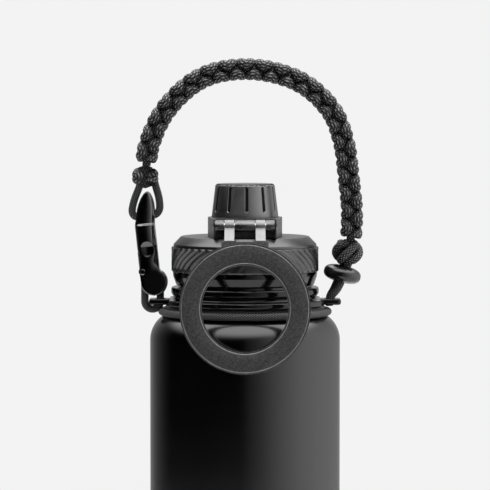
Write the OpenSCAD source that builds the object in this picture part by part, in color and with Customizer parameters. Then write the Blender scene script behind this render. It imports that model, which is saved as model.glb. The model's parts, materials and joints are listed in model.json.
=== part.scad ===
// Insulated steel water bottle: screw lid, screw cap on a spout, folding magnetic
// phone ring and a braided cord handle clipped to a collar on the neck.
// Millimetres. +Z is up, the phone ring is on the -Y side, the clip is on the -X side.
// The origin is the centre of the flat foot the bottle stands on.

/* [Bottle body] */
// Outer diameter of the straight body
body_d = 91; // [80:1:104]
// Height from the foot to the bottom of the neck
neck_z = 200; // [165:1:240]
// Radius of the round edge at the foot
foot_r = 6; // [4:0.5:8]
// Wall of the outer shell
shell_t = 0.6; // [0.4:0.1:1]
// Wall of the inner vessel
vessel_t = 0.5; // [0.4:0.1:0.8]
// Width of the vacuum space beside the vessel
vacuum_gap = 2.4; // [1.5:0.1:4]

/* [Neck] */
// Outer diameter of the neck
neck_d = 63; // [60:1:68]
// Height of the neck up to its rim
neck_h = 25; // [22:1:30]
// Width of the vacuum space inside the neck
neck_gap = 0.9; // [0.5:0.1:1.4]
// Pitch of the lid's thread
lid_pitch = 4.5; // [3.5:0.5:5.5]

/* [Lid] */
// Height of the fluted grip band
grip_h = 11.6; // [9:0.2:14]
// Height of the skirt under the grip band
skirt_h = 6.6; // [4:0.2:6.8]
// Thickness of the grip band's side wall
grip_t = 2.1; // [1.6:0.1:2.6]
// Thickness of the flat gasket on the neck's rim
gasket_t = 1.5; // [1:0.1:2]
// Thickness of the top cover
cover_t = 5; // [4:0.5:6]
// How far the plug reaches below the rim
plug_h = 18; // [14:1:20]

/* [Spout and cap] */
// Radius of the drinking channel
spout_bore_r = 9; // [7:0.5:9.5]
// Wall of the spout's threaded tube
spout_t = 1.6; // [1.4:0.1:2]
// Pitch of the cap's thread
cap_pitch = 3; // [2.5:0.5:4]
// Height of the cap
cap_h = 15.8; // [14:0.2:20]
// Radius of the cap at its lower edge
cap_r = 16; // [15.5:0.1:17.2]
// How much narrower the cap is at its top
cap_taper = 1.8; // [0.8:0.1:2]
// Number of finger slots round the cap
cap_slots = 11; // [8:1:13]

/* [Phone ring] */
// Outer radius of the ring
ring_r = 30.6; // [29:0.2:34]
// Radius of the hole through the ring
ring_hole_r = 20.2; // [17:0.2:21]
// Thickness of the ring
ring_t = 3; // [2.8:0.1:4]
// Angle at which the ring hangs, foot outwards
ring_tilt = 5; // [4:0.5:7]
// Number of magnets in the ring
magnet_count = 16; // [12:1:18]
// Radius of the ring's hinge pin
pin_r = 1.5; // [1.2:0.1:1.6]
// Height of the collar that carries the ring
hinge_h = 9; // [8.6:0.2:11]

/* [Handle] */
// Diameter of a loose strand of handle cord
cord_d = 4; // [3.4:0.1:4.2]
// Width of the braided strap, front to back
braid_w = 17; // [14:0.5:19]
// Thickness of the braided strap
braid_t = 10.6; // [9:0.2:11.4]
// Diameter of the sliding cord button
button_d = 18; // [15:0.5:18.6]
// Thickness of the cord button at its middle
button_t = 8; // [6:0.2:8.4]
// Thickness of the clip, front to back
clip_w = 11; // [10.6:0.2:12]

/* [Hidden] */
$fn = 96;

eps = 0.01;
slip = 0.3;          // room between round parts that turn on each other
pin_slip = 0.05;     // room between a hinge pin and the bore that turns on it

// Bottle
body_r = body_d / 2;
neck_r = neck_d / 2;
rim_z = neck_z + neck_h;
shoulder_r = body_r - neck_r;        // the shoulder is a quarter round from body to neck
shoulder_z = neck_z - shoulder_r;
vessel_r = body_r - shell_t - vacuum_gap;
vessel_neck_r = neck_r - shell_t - neck_gap;
mouth_r = vessel_neck_r - vessel_t;
rim_t = 0.8;
base_z = 3.4;        // underside of the shell's closed bottom
base_lip = 2.4;      // width of the foot ring
foot_gap = 0.3;      // how far the foot cover stands proud of the foot ring
getter_h = 3;
vessel_z = base_z + shell_t + getter_h + 1.4;
vessel_foot_r = foot_r + 2;
vessel_shoulder_r = vessel_r - vessel_neck_r;
vessel_shoulder_z = shoulder_z - 3;

// Lid
flange_t = 2;
flange_z = rim_z + gasket_t;
deck_z = flange_z + flange_t;
band_top = deck_z + 2.2;
band_z = band_top - grip_h;
skirt_z = band_z - skirt_h;
flange_r = neck_r + 1.5;
band_inner_r = flange_r + 0.2;
band_r = band_inner_r + grip_t;
cover_top = band_top + cover_t;
cover_r = band_r - 1.1;
thread_h = 1.2;      // how far a lid thread stands out of its wall
thread_w = 2;        // width of a lid thread at its root
plug_r = mouth_r - 2 * thread_h - 0.4;
plug_t = 2;
plug_z = rim_z - plug_h;
tube_r = spout_bore_r + 2;

// Spout and cap
barrel_r = 14;
barrel_top = cover_top + hinge_h + 0.2;
spout_r = spout_bore_r + spout_t;
cap_thread_h = 0.9;
cap_thread_w = cap_pitch / 2 - 0.3;
liner_r = spout_r + cap_thread_h + slip;
liner_t = 0.8;
cap_z = barrel_top + 0.1;
cap_top_t = 1.9;
seal_t = 1.8;
spout_top = cap_z + cap_h - cap_top_t - seal_t;
slot_r = 1.15;
slot_depth = 0.9;
slot_tilt = atan(cap_taper / cap_h);

// Hinge collar and phone ring
collar_z = cover_top + 0.2;
collar_r = 17.8;
snap_z = collar_z + 3;
pin_y = -27;
pin_z = collar_z + hinge_h - 3.2;
knuckle_r = 2.9;
tongue_y = -29.4;
tongue_x = 14.8;
recess_y = pin_y + 3.5;
recess_x = tongue_x - 0.9;
arm_x0 = 5;
arm_x1 = 9.6;
knuckle_gap = 0.3;
arm_t = 1.6;
ring_gap = 0.4;      // room between the hanging ring and the body
ring_y_at_shoulder = -(body_r + ring_gap);
ring_z = pin_z - 37.8;
function ring_back_y(z) = ring_y_at_shoulder + (z - shoulder_z) * tan(ring_tilt);
ring_y = ring_back_y(ring_z);
pad_t = 0.8;
ring_wall = 0.6;     // rim left standing beside the pad
magnet_t = 1.6;
magnet_r = (ring_r - ring_hole_r - 2 * ring_wall) / 2 - 1.1;
ring_mid_r = (ring_r + ring_hole_r) / 2;
bend_z = ring_z + ring_r + 0.8;
bend_y = ring_back_y(bend_z) - arm_t / 2;

// Neck collar and its cord
neck_fit = 0.3;
plate_z = neck_z + 2.9;
plate_t = 2.9;
plate_r = neck_r + 8.5;
waist_r = neck_r + 2.9;
bead_r = neck_r + 3.9;
bead_z = plate_z + plate_t + 2.3;
bead_h = 3.4;
pivot_z = plate_z + plate_t / 2;
flat_x = waist_r + 1.9;              // flat side that the clip swings past
tight_d = 0.9 * cord_d;              // cord pulled tight through a slot
slot_x0 = neck_r + 6.8;
slot_x1 = slot_x0 + tight_d + 0.7;
bar_w = 3.4;                         // outer bar of an ear
ear_x = slot_x1 + bar_w;
ear_bar_x = slot_x1 + bar_w / 2;
ear_w = 5.6;
slot_w = 4.3;
wrap_r = 0.425 * cord_d;             // radius of the cord tied round the neck
wrap_reach = shoulder_r + wrap_r + slip;
wrap2_z = plate_z - wrap_r - 0.1;
wrap2_a = asin((wrap2_z - shoulder_z) / wrap_reach);
wrap1_a = wrap2_a - 2 * asin(1.01 * wrap_r / wrap_reach);

// Ear loop: a closed loop round the ear's bar and the clip's post
loop_r = bar_w / 2 + tight_d / 2 + 0.2;
post_z = pivot_z + 7.7;
post_r = 1.4;

// Clip, drawn in the XZ plane round its post
clip_x = -(ear_bar_x - 0.9);
clip_z = post_z + 1.6;
boss_r = 6.4;
saddle_r = norm([ear_w, plate_t / 2]) + 0.3;
cheek_gap = tight_d / 2 + 0.25;
clip_half = 4.9;                     // half the clip's width
clip_lean = 6;                       // lean of the clip's stem, in degrees
stem_z0 = 4;
stem_z1 = 28;
stem_x = -1.6;                       // the stem's middle, beside the boss
// Half outline of the pointed tongue on top of the stem, as [half width, height]
tongue_outline = [
    [4.9, 27.9], [4.9, 31.5], [4.5, 34.6], [3.9, 37.8], [3, 40.4], [1.7, 42.7], [0.5, 43.6]
];
loop_hole_z = 31.8;
tongue_lean = 0.17;                  // sideways share of the tongue's rise, back to upright
// Half of the cord's route from the hole in the tongue up to the left knot
loop_route = [
    [0, 31.8], [3.2, 31.8], [5.5, 32.6], [6.6, 34.8], [6.4, 37.8], [5.6, 41.2], [4.2, 45.2], [2.6, 50]
];
gate_x = -5.0;
gate_z = 5.6;
gate_pin_r = 1;
gate_w = 2 * cheek_gap - 0.6;

// Handle. Points of the strap's centre line, as [x, height over the ears' axis]
ear_ref = 44.2;                      // ear position that the route was laid out for
handle_scale = ear_bar_x / ear_ref;
handle_route = [
    [-47, 65], [-46.5, 72], [-44, 80], [-40.5, 87.5], [-36, 94], [-30, 100.3],
    [-23.5, 105.3], [-16, 108.8], [-8, 110.6], [0.5, 111.2], [9, 110.5], [17, 108.7],
    [25, 105.7], [32, 101.2], [38, 95.5], [43, 88.4], [46, 80.5], [48, 72.2],
    [49, 64], [50, 55], [51, 45.5], [51, 36], [50.4, 29]
];
// Points of the two stem cords, as [x, height over the ears' axis, share of the spread]
stem_route = [
    [4.4, 18.6, 1], [2.7, 14.6, 1], [0.9, 9.8, 1], [-0.9, 5.9, 0.8],
    [-3.1, 2.8, 0.3], [-3.85, 0.4, 0], [-3.85, -2, 0]
];
left_knot_x = -47.6 * handle_scale;
left_knot_z = pivot_z + 59.8;
right_knot_x = 49 * handle_scale;
right_knot_z = pivot_z + 23.8;
button_x = ear_bar_x + 2.3;
button_z = pivot_z + 13.2;
button_tilt = 14;
button_hole_r = 1.15 * cord_d;
button_bow = (pow(button_d / 2, 2) + pow(button_t / 2, 2)) / button_t;

// ---- helpers ----

// 2D shape drawn in (y, z) and extruded along x, between x0 and x1
module along_x(x0, x1) {
    translate([x0, 0, 0]) rotate([90, 0, 90]) linear_extrude(x1 - x0) children();
}

// 2D shape drawn in (x, z) and extruded along y, centred on y = 0
module along_y(w) {
    rotate([90, 0, 0]) linear_extrude(w, center = true) children();
}

module ring(r0, r1, z0, z1) {
    translate([0, 0, z0]) difference() {
        cylinder(r = r1, h = z1 - z0);
        translate([0, 0, -1]) cylinder(r = r0, h = z1 - z0 + 2);
    }
}

// Straight bar with round ends between two points, in 2D
module bar2(a, b, w) {
    d = b - a;
    translate(a) rotate(atan2(d[1], d[0])) translate([0, -w / 2]) square([norm(d), w]);
    translate(a) circle(d = w, $fn = 32);
    translate(b) circle(d = w, $fn = 32);
}

function unit(v) = v / norm(v);
function heading(p, i) = unit(p[min(i + 1, len(p) - 1)] - p[max(i - 1, 0)]);

// Catmull-Rom curve through the points of a route
function curve(a, b, c, d, t) =
    0.5 * (2 * b + (c - a) * t + (2 * a - 5 * b + 4 * c - d) * t * t
    + (3 * b - a - 3 * c + d) * t * t * t);
function smooth_route(p, steps) = concat(
    [for (i = [0:len(p) - 2], k = [0:steps - 1])
        curve(p[max(i - 1, 0)], p[i], p[i + 1], p[min(i + 2, len(p) - 1)], k / steps)],
    [p[len(p) - 1]]
);

function round_shape(r, sides) = [for (k = [0:sides - 1]) r * [cos(360 * k / sides), sin(360 * k / sides)]];
// Rounded strap section, thick across the route and wide along y
function strap_shape(t, w, r) = [
    for (q = [[1, 1], [-1, 1], [-1, -1], [1, -1]], k = [0:2])
        let (a = atan2(q[1], q[0]) - 45 + 45 * k)
        [q[0] * (t / 2 - r), q[1] * (w / 2 - r)] + r * [cos(a), sin(a)]
];

// Closed tube of a given section along a route that stays near the XZ plane
module sweep(p, shape) {
    n = len(shape);
    rings = [for (i = [0:len(p) - 1])
        let (t = heading(p, i), u = unit(cross([0, 1, 0], t)), v = cross(t, u))
        [for (s = shape) p[i] + u * s[0] + v * s[1]]];
    sides = [for (i = [0:len(p) - 2], k = [0:n - 1], h = [0, 1])
        let (a = i * n + k, b = i * n + (k + 1) % n)
        h == 0 ? [a, b + n, b] : [a, a + n, b + n]];
    polyhedron(
        points = [for (r = rings) each r],
        faces = concat([[for (k = [0:n - 1]) k]], sides,
            [[for (k = [n - 1:-1:0]) (len(p) - 1) * n + k]])
    );
}

// Helical thread of one tapered rib. Its root is sunk into the wall, its ends run out.
module thread(root_r, crest_r, width, pitch, turns, z0, a0 = 0) {
    per_turn = 28;
    steps = round(per_turn * turns);
    sink = crest_r > root_r ? -0.3 : 0.3;
    sections = [for (i = [0:steps])
        let (
            a = a0 + 360 * i / per_turn,
            z = z0 + pitch * i / per_turn,
            rise = min(1, (i + 0.3) / 4, (steps - i + 0.3) / 4),
            crest = root_r + (crest_r - root_r) * rise,
            d = [cos(a), sin(a), 0]
        ) [
            d * (root_r + sink) + [0, 0, z - width / 2],
            d * crest + [0, 0, z - width / 3],
            d * crest + [0, 0, z + width / 3],
            d * (root_r + sink) + [0, 0, z + width / 2]
        ]];
    flip = crest_r < root_r;
    sides = [for (i = [0:steps - 1], k = [0:3], h = [0, 1])
        let (a = 4 * i + k, b = 4 * i + (k + 1) % 4, c = a + 4, d = b + 4)
        h == 0 ? (flip ? [a, c, b] : [a, b, c]) : (flip ? [b, c, d] : [b, d, c])];
    e = 4 * steps;
    ends = flip ? [[0, 1, 2, 3], [e + 3, e + 2, e + 1, e]] : [[3, 2, 1, 0], [e, e + 1, e + 2, e + 3]];
    polyhedron(points = [for (s = sections) each s], faces = concat(sides, ends));
}

// ---- bottle ----

// Outline of a vessel, solid to its axis. Its shoulder is an arc of radius `arc` round
// the point [arc_x, shoulder].
module flask_outline(r, foot, z0, shoulder, arc_x, arc, neck, z1) {
    translate([0, z0 + foot]) square([r, shoulder - z0 - foot]);
    translate([0, z0]) square([r - foot, foot + eps]);
    translate([r - foot, z0 + foot]) circle(foot);
    translate([0, shoulder - eps]) square([neck, z1 - shoulder + eps]);
    intersection() {
        translate([arc_x, shoulder]) circle(arc);
        translate([0, shoulder - eps]) square([r + 1, arc + 1]);
    }
}

// Powder-coated outer shell with its rolled foot and closed bottom
module outer_shell() {
    color("#17181a") difference() {
        rotate_extrude() intersection() {
            flask_outline(body_r, foot_r, foot_gap, shoulder_z, neck_r, shoulder_r, neck_r, rim_z - rim_t);
            square([body_r + 1, rim_z]);
        }
        rotate_extrude() intersection() {
            flask_outline(body_r - shell_t, foot_r - shell_t, shell_t, shoulder_z,
                neck_r, shoulder_r - shell_t, neck_r - shell_t, rim_z + 1);
            translate([0, base_z + shell_t]) square([body_r + 1, rim_z + 2]);
        }
        translate([0, 0, -1]) cylinder(r = body_r - foot_r - base_lip, h = base_z + 1);
        translate([0, 0, -1]) cylinder(r = 1.2, h = 20);
    }
}

// Bare steel vessel that holds the drink, with the lid's thread rolled into its neck
module inner_vessel() {
    color("#b9bcc0") {
        difference() {
            union() {
                rotate_extrude() intersection() {
                    flask_outline(vessel_r, vessel_foot_r, vessel_z, vessel_shoulder_z,
                        vessel_neck_r, vessel_shoulder_r, vessel_neck_r, rim_z);
                    square([body_r, rim_z]);
                }
                translate([0, 0, rim_z - rim_t]) cylinder(r = neck_r, h = rim_t);
            }
            rotate_extrude() intersection() {
                flask_outline(vessel_r - vessel_t, vessel_foot_r - vessel_t, vessel_z + vessel_t,
                    vessel_shoulder_z, vessel_neck_r, vessel_shoulder_r - vessel_t, mouth_r, rim_z + 1);
                square([body_r, rim_z + 1]);
            }
        }
        thread(mouth_r, mouth_r - thread_h, thread_w, lid_pitch, 1.75, rim_z - 12.5);
    }
}

// Cover pressed into the foot. The bottle stands on it.
module base_plate() {
    plate_r0 = body_r - foot_r - base_lip - 0.1;
    color("#222325") {
        cylinder(r = plate_r0, h = 0.9);
        ring(plate_r0 - 0.8, plate_r0, 0.9 - eps, base_z);
    }
}

// Gas-absorbing pill in the vacuum space
module getter() {
    color("#8d8f93") translate([18, 0, base_z + shell_t]) cylinder(r = 5, h = getter_h);
}

// Glass bead that closes the evacuation hole
module vacuum_seal() {
    color("#55636b") {
        translate([0, 0, base_z - 0.9]) cylinder(r = 4, h = 0.9);
        translate([0, 0, base_z - 0.1]) cylinder(r = 1.1, h = shell_t + 0.1);
    }
}

// ---- lid ----

module lid_gasket() {
    color("#9a9c9e") ring(mouth_r - 1, neck_r - 0.2, rim_z, rim_z + gasket_t);
}

// Threaded plug with its flange and the lower part of the drinking channel
module lid_core() {
    color("#3a3b3d") {
        ring(plug_r - plug_t, flange_r, flange_z, deck_z);
        ring(plug_r - plug_t, plug_r, plug_z, flange_z + eps);
        ring(spout_bore_r, plug_r - plug_t + eps, plug_z, plug_z + plug_t);
        ring(spout_bore_r, tube_r, plug_z + plug_t - eps, deck_z);
        thread(plug_r, plug_r + thread_h, thread_w, lid_pitch, 1.5, plug_z + 3.2);
    }
}

// Foam ring inside the plug
module lid_insulation() {
    color("#e8e4da") ring(tube_r + 0.2, plug_r - plug_t - 0.2, plug_z + plug_t, deck_z - 0.2);
}

// Band that the hand turns
module lid_grip_band() {
    color("#1d1e20") {
        ring(band_inner_r, band_r, band_z, band_top);
        ring(plug_r, band_inner_r + eps, deck_z, band_top);
    }
}

module lid_skirt_ring() {
    color("#1d1e20") rotate_extrude() polygon([
        [neck_r + 0.7, skirt_z], [band_r - 2.3, skirt_z], [band_r - 0.6, band_z],
        [band_inner_r - 0.7, band_z], [neck_r + 0.7, band_z - 0.8]
    ]);
}

// Chamfered top disc with a hole for the spout's barrel
module lid_top_cover() {
    chamfer_h = 3.7;
    color("#1d1e20") rotate_extrude() polygon([
        [barrel_r + 0.1, band_top + 2], [cover_r - 2.4, band_top + 2], [cover_r - 2.4, band_top],
        [cover_r, band_top], [cover_r, cover_top - chamfer_h],
        [cover_r - 3.6, cover_top], [barrel_r + 0.1, cover_top]
    ]);
}

// Drinking spout: flange, barrel that the hinge collar turns on, threaded tube
module spout() {
    flange = plug_r - 0.3;
    color("#2a2b2d") {
        ring(spout_bore_r, flange, deck_z, deck_z + 1.7);
        ring(spout_bore_r, barrel_r, deck_z, barrel_top);
        rotate_extrude() polygon([
            [barrel_r - 1, snap_z], [barrel_r + 0.7, snap_z + 0.6],
            [barrel_r + 0.7, snap_z + 1.2], [barrel_r - 1, snap_z + 1.8]
        ]);
        ring(spout_bore_r, spout_r, barrel_top - eps, spout_top);
        thread(spout_r, spout_r + cap_thread_h, cap_thread_w, cap_pitch, 2.5, barrel_top + 2.2);
    }
}

// ---- spout cap ----

module spout_gasket() {
    color("#c9c7c2") translate([0, 0, spout_top]) cylinder(r = liner_r - 0.2, h = seal_t);
}

// Tapered outer shell with round-ended finger slots
module spout_cap_shell() {
    cavity_h = cap_h - cap_top_t;
    edge = 0.8;
    reach = cap_h - 5.2;
    color("#1b1c1e") difference() {
        translate([0, 0, cap_z]) rotate_extrude() difference() {
            polygon([
                [0, 0], [cap_r, 0], [cap_r - cap_taper, cap_h - edge],
                [cap_r - cap_taper - edge, cap_h], [0, cap_h]
            ]);
            translate([-1, -1]) square([liner_r + liner_t + 1, cavity_h + 1]);
        }
        for (i = [0:cap_slots - 1]) rotate([0, 0, -90 + 3 + 360 * i / cap_slots])
            translate([cap_r - slot_depth + slot_r, 0, cap_z + 3.4]) rotate([0, -slot_tilt, 0]) {
                cylinder(r = slot_r, h = reach, $fn = 24);
                sphere(r = slot_r, $fn = 24);
                translate([0, 0, reach]) sphere(r = slot_r, $fn = 24);
            }
    }
}

// Threaded liner pressed into the shell
module spout_cap_liner() {
    color("#2f3032") {
        ring(liner_r, liner_r + liner_t - 0.05, cap_z + 0.6, cap_z + cap_h - cap_top_t);
        thread(liner_r, liner_r - cap_thread_h, cap_thread_w, cap_pitch, 2.25,
            barrel_top + 2.2 + cap_pitch / 2);
    }
}

// ---- phone ring ----

// Collar that turns on the barrel, with a tongue and knuckles for the ring's hinge
module hinge_collar() {
    color("#242527") difference() {
        union() {
            difference() {
                translate([0, 0, collar_z]) linear_extrude(hinge_h) {
                    circle(collar_r);
                    polygon([
                        [-collar_r, 0], [-tongue_x, tongue_y], [tongue_x, tongue_y], [collar_r, 0]
                    ]);
                }
                translate([-recess_x, tongue_y - 1, collar_z - 1])
                    cube([2 * recess_x, recess_y - tongue_y + 1, hinge_h + 2]);
            }
            along_x(-recess_x - eps, -arm_x1 - knuckle_gap) knuckle_side();
            along_x(-arm_x0 + knuckle_gap, arm_x0 - knuckle_gap) knuckle_side();
            along_x(arm_x1 + knuckle_gap, recess_x + eps) knuckle_side();
        }
        translate([0, 0, collar_z - 1]) cylinder(r = barrel_r + slip, h = hinge_h + 2);
        rotate_extrude() polygon([
            [barrel_r - 1, snap_z - 0.4], [barrel_r + 1, snap_z + 0.3],
            [barrel_r + 1, snap_z + 1.5], [barrel_r - 1, snap_z + 2.2]
        ]);
        translate([-tongue_x - 1, pin_y, pin_z]) rotate([0, 90, 0])
            cylinder(r = pin_r + pin_slip, h = 2 * tongue_x + 2);
    }
}

// Knuckle and the web behind it, in (y, z)
module knuckle_side() {
    translate([pin_y, pin_z]) circle(knuckle_r, $fn = 48);
    translate([pin_y, pin_z - knuckle_r]) square([recess_y - pin_y + 0.5, 2 * knuckle_r - 1.4]);
}

module hinge_pin() {
    color("#b4b6b8") translate([-tongue_x, pin_y, pin_z]) rotate([0, 90, 0])
        cylinder(r = pin_r, h = 2 * tongue_x);
}

// Places a ring drawn with its back on y = 0 where the phone ring hangs
module hang_ring() {
    translate([0, ring_y, ring_z]) rotate([-ring_tilt, 0, 0]) children();
}

module flat_ring(r0, r1, y0, y1) {
    translate([0, -y0, 0]) rotate([90, 0, 0]) ring(r0, r1, 0, y1 - y0);
}

// Metal ring with a pocket for magnets and pad, and two arms up to the pin
module phone_ring_frame() {
    pocket = ring_t - pad_t - magnet_t;
    web_x = arm_x1 + 1.4;
    color("#b9bbbd") difference() {
        union() {
            hang_ring() difference() {
                union() {
                    flat_ring(ring_hole_r, ring_r, 0, ring_t);
                    translate([-web_x, -arm_t, ring_r - 3]) cube([2 * web_x, arm_t, 3.6]);
                }
                flat_ring(ring_hole_r + ring_wall, ring_r - ring_wall, pocket + magnet_t, ring_t + 1);
                flat_ring(ring_mid_r - magnet_r - 0.3, ring_mid_r + magnet_r + 0.3, pocket, ring_t + 1);
            }
            along_x(-arm_x1, -arm_x0) arm_side();
            along_x(arm_x0, arm_x1) arm_side();
        }
        translate([-tongue_x - 1, pin_y, pin_z]) rotate([0, 90, 0])
            cylinder(r = pin_r + pin_slip, h = 2 * tongue_x + 2);
    }
}

// Arm from the ring's top edge round the pin, in (y, z)
module arm_side() {
    translate([pin_y, pin_z]) circle(knuckle_r, $fn = 48);
    bar2([pin_y - 1, pin_z - 1], [bend_y, bend_z], arm_t);
    bar2([bend_y, bend_z], [ring_back_y(bend_z - 3) - arm_t / 2, bend_z - 3], arm_t);
}

// Rubbery pad let into the ring's face
module ring_face_pad() {
    color("#3b3c3e") hang_ring()
        flat_ring(ring_hole_r + ring_wall + 0.1, ring_r - ring_wall - 0.1, ring_t - pad_t, ring_t);
}

module ring_magnets() {
    color("#8f9194") hang_ring() for (i = [0:magnet_count - 1])
        rotate([0, 360 * i / magnet_count, 0]) translate([ring_mid_r, -(ring_t - pad_t), 0])
            rotate([-90, 0, 0]) cylinder(r = magnet_r, h = magnet_t, $fn = 32);
}

// ---- neck collar ----

// Outline of an ear with its slot, on the +X side
module ear_outline() {
    difference() {
        union() {
            translate([neck_r + 2, -ear_w]) square([ear_x - neck_r - 3.5, 2 * ear_w]);
            translate([ear_x - 1.5 - eps, -ear_w + 1.5]) square([1.5 + eps, 2 * ear_w - 3]);
            for (s = [-1, 1]) translate([ear_x - 1.5, s * (ear_w - 1.5)]) circle(1.5, $fn = 32);
        }
        translate([slot_x0, -slot_w]) square([slot_x1 - slot_x0, 2 * slot_w]);
    }
}

// Rubber collar on the neck: plate with two slotted ears, waist and bead
module neck_collar() {
    color("#1c1c1d") difference() {
        union() {
            translate([0, 0, plate_z]) linear_extrude(plate_t) {
                intersection() {
                    circle(plate_r);
                    square([2 * flat_x, 3 * plate_r], center = true);
                }
                ear_outline();
                mirror([1, 0]) ear_outline();
            }
            translate([0, 0, plate_z]) cylinder(r = waist_r, h = bead_z - plate_z + eps);
            translate([0, 0, bead_z]) cylinder(r = bead_r, h = bead_h);
        }
        translate([0, 0, plate_z - 1]) cylinder(r = neck_r + neck_fit, h = 20);
        // the bars' long edges, cut back for the cords that bend round them
        for (x = [-ear_bar_x, ear_bar_x], s = [-1, 1], h = [-1, 1])
            translate([x + s * bar_w / 2, 0, pivot_z + h * plate_t / 2]) rotate([0, 45, 0])
                cube([0.96, 2 * slot_w - 0.6, 0.96], center = true);
    }
}

// Two turns of cord round the neck, between the shoulder and the collar's plate
module neck_cord() {
    notch = tight_d / 2 + 0.5;
    color("#141415") difference() {
        for (a = [wrap1_a, wrap2_a]) rotate_extrude()
            translate([neck_r + wrap_reach * cos(a), shoulder_z + wrap_reach * sin(a)])
                circle(wrap_r, $fn = 24);
        translate([-body_r, -notch, neck_z - 10]) cube([body_r - flat_x + 1, 2 * notch, 16]);
    }
}

// ---- handle ----

handle_points = [for (p = handle_route) [p[0] * handle_scale, 0, pivot_z + p[1]]];

module handle_braid() {
    color("#161617") sweep(smooth_route(handle_points, 2), strap_shape(braid_t, braid_w, 3.6));
}

// Wrapped knot of the strap's left end
module left_knot() {
    color("#161617") translate([left_knot_x, 0, left_knot_z]) hull()
        for (x = [-1, 1], y = [-1, 1]) translate([1.3 * x, 3 * y, 0]) sphere(r = 5, $fn = 24);
}

// Knot under the strap's right end
module right_knot() {
    color("#161617") translate([right_knot_x, 0, right_knot_z]) hull()
        for (x = [-1, 1], y = [-1, 1]) translate([1.6 * x, 2 * y, 0]) sphere(r = 6, $fn = 24);
}

function tongue_shift(z) = tongue_lean * max(0, z - tongue_outline[0][1]);

// U of cord from the left knot through the hole in the clip's tongue
module clip_loop() {
    half = [for (p = loop_route) [p[0] + tongue_shift(p[1]), 0, p[1]]];
    other = [for (i = [len(half) - 1:-1:1])
        [-loop_route[i][0] + tongue_shift(loop_route[i][1]), 0, loop_route[i][1]]];
    color("#141415") clip_frame() translate([stem_x, 0, 0])
        sweep(smooth_route(concat(other, half), 2), round_shape(tight_d / 2, 10));
}

// ---- clip ----

// The clip's own frame: origin at its boss, z along its leaning stem
module clip_frame() {
    translate([clip_x, 0, clip_z]) rotate([0, -clip_lean, 0]) children();
}

// Moulded clip: boss with two cheeks and a post, stem, tongue, pocket for the gate
module clip_body() {
    color("#1a1a1c") difference() {
        union() {
            difference() {
                union() {
                    translate([clip_x, 0, clip_z]) rotate([90, 0, 0])
                        cylinder(r = boss_r, h = clip_w, center = true);
                    clip_frame() {
                        along_y(clip_w) translate([stem_x - clip_half, stem_z0])
                            square([2 * clip_half, stem_z1 - stem_z0]);
                        along_y(clip_w) polygon([
                            [stem_x - clip_half, stem_z0], [-boss_r + 0.2, 0], [0, -2], [0, stem_z0]
                        ]);
                        translate([stem_x, 0, 0]) along_y(0.8 * clip_w) polygon(concat(
                            [for (p = tongue_outline) [p[0] + tongue_shift(p[1]), p[1]]],
                            [for (i = [len(tongue_outline) - 1:-1:0])
                                [tongue_shift(tongue_outline[i][1]) - tongue_outline[i][0],
                                 tongue_outline[i][1]]]
                        ));
                    }
                }
                // gap between the cheeks, for the ear loop
                translate([clip_x, 0, clip_z]) along_y(2 * cheek_gap) {
                    translate([-boss_r - 6, -boss_r - 1]) square([2 * boss_r + 6, boss_r + 6]);
                }
                // pocket behind the gate
                clip_frame() along_y(2 * cheek_gap)
                    translate([-clip_half - 3, gate_z - 2]) square([6.4, 12.4]);
            }
            translate([-ear_bar_x, 0, post_z]) rotate([90, 0, 0])
                cylinder(r = post_r, h = 2 * cheek_gap + 1, center = true, $fn = 48);
        }
        clip_frame() {
            // hole along x for the cord from the handle
            translate([-20, 0, loop_hole_z]) rotate([0, 90, 0]) cylinder(r = tight_d / 2 + 0.7, h = 40);
            // bore for the gate's pin
            translate([gate_x, 0, gate_z]) rotate([90, 0, 0])
                cylinder(r = gate_pin_r + 0.02, h = clip_w + 2, center = true);
            // thumb dimple on the front
            translate([stem_x, -clip_w / 2 - 9.2, 16]) sphere(r = 10);
        }
        // relief that the ear turns in
        translate([-2 * body_r, 0, pivot_z]) rotate([0, 90, 0]) cylinder(r = saddle_r, h = 4 * body_r);
    }
}

// Lever that closes the left side of the gap: a blade below its pin, a tail above it
module clip_gate() {
    color("#202022") clip_frame() difference() {
        union() {
            translate([gate_x, 0, gate_z]) rotate([90, 0, 0]) cylinder(r = 2, h = gate_w, center = true);
            along_y(gate_w) polygon([
                [gate_x - 1.5, gate_z + 9.4], [gate_x - 1.5, gate_z - 4.7], [gate_x - 0.9, gate_z - 3.85],
                [gate_x, gate_z - 2.7], [gate_x + 0.7, gate_z - 2], [gate_x + 0.8, gate_z - 0.6],
                [gate_x + 0.4, gate_z + 9.4]
            ]);
        }
        translate([gate_x, 0, gate_z]) rotate([90, 0, 0])
            cylinder(r = gate_pin_r + pin_slip, h = clip_w, center = true);
    }
}

module gate_pin() {
    color("#b4b6b8") clip_frame() translate([gate_x, 0, gate_z]) rotate([90, 0, 0])
        cylinder(r = gate_pin_r, h = clip_w - 0.4, center = true);
}

// Small coil spring behind the gate's tail, drawn as a short stack of turns
module gate_spring() {
    turn = 0.9;
    color("#b4b6b8") clip_frame() translate([gate_x + 0.9, 0, gate_z + 7.6]) rotate([0, 90, 0])
        for (i = [0:2]) translate([0, 0, 0.4 + turn * i]) rotate_extrude()
            translate([0.9, 0]) circle(0.3, $fn = 16);
}

// Closed loop of cord round the ear's bar and the clip's post
module ear_loop() {
    r = tight_d / 2;
    rise = post_z - pivot_z;
    color("#141415") translate([-ear_bar_x, 0, pivot_z]) {
        for (s = [-1, 1]) translate([s * loop_r, 0, 0]) cylinder(r = r, h = rise, $fn = 32);
        translate([0, 0, rise]) rotate([90, 0, 0]) rotate_extrude(angle = 180)
            translate([loop_r, 0]) circle(r, $fn = 32);
        rotate([90, 0, 0]) rotate([0, 0, 180]) rotate_extrude(angle = 180)
            translate([loop_r, 0]) circle(r, $fn = 32);
    }
}

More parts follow.
